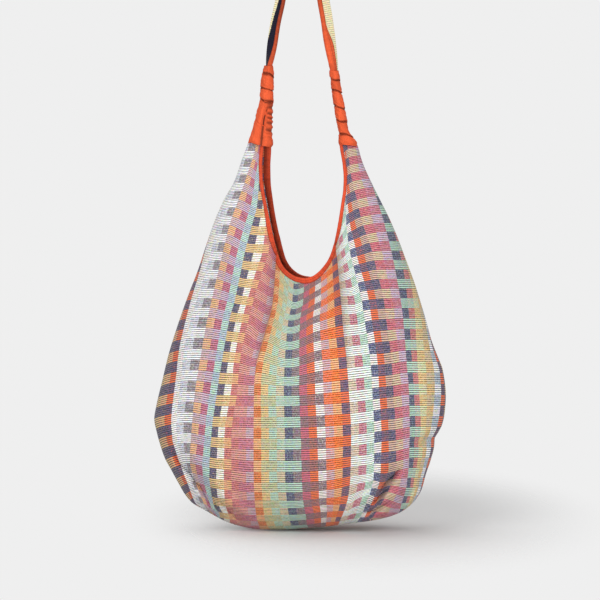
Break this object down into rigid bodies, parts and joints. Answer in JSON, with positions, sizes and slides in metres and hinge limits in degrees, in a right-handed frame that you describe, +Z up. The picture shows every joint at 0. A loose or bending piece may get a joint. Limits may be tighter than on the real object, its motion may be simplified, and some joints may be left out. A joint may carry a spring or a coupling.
{
  "type": "balloon bag",
  "caption": "Slouchy round shoulder bag of woven check cloth with bound U necklines, cloth-wound leg ends and a folded strap that it hangs by.",
  "frame": {"origin": "middle of the underside of the strap's top, where a hook or a shoulder carries the bag", "axes": "+Z up along the hanging bag, +X to the right across its width, front towards -Y"},
  "size_m": [0.406, 0.184, 0.8279],
  "materials": {
    "woven_cloth": "ribbed handwoven cotton in coloured checks",
    "binding_cloth": "plain cotton strip, matte",
    "wrap_cloth": "plain cotton strip, matte",
    "strap_cloth": "ribbed handwoven cotton in stripes"
  },
  "bodies": {
    "root": {"front_panel": "woven_cloth", "back_panel": "woven_cloth", "front_neck_binding": "binding_cloth", "back_neck_binding": "binding_cloth", "left_wrap": "wrap_cloth", "right_wrap": "wrap_cloth", "strap_band": "strap_cloth", "strap_binding": "binding_cloth"}
  },
  "joints": []
}
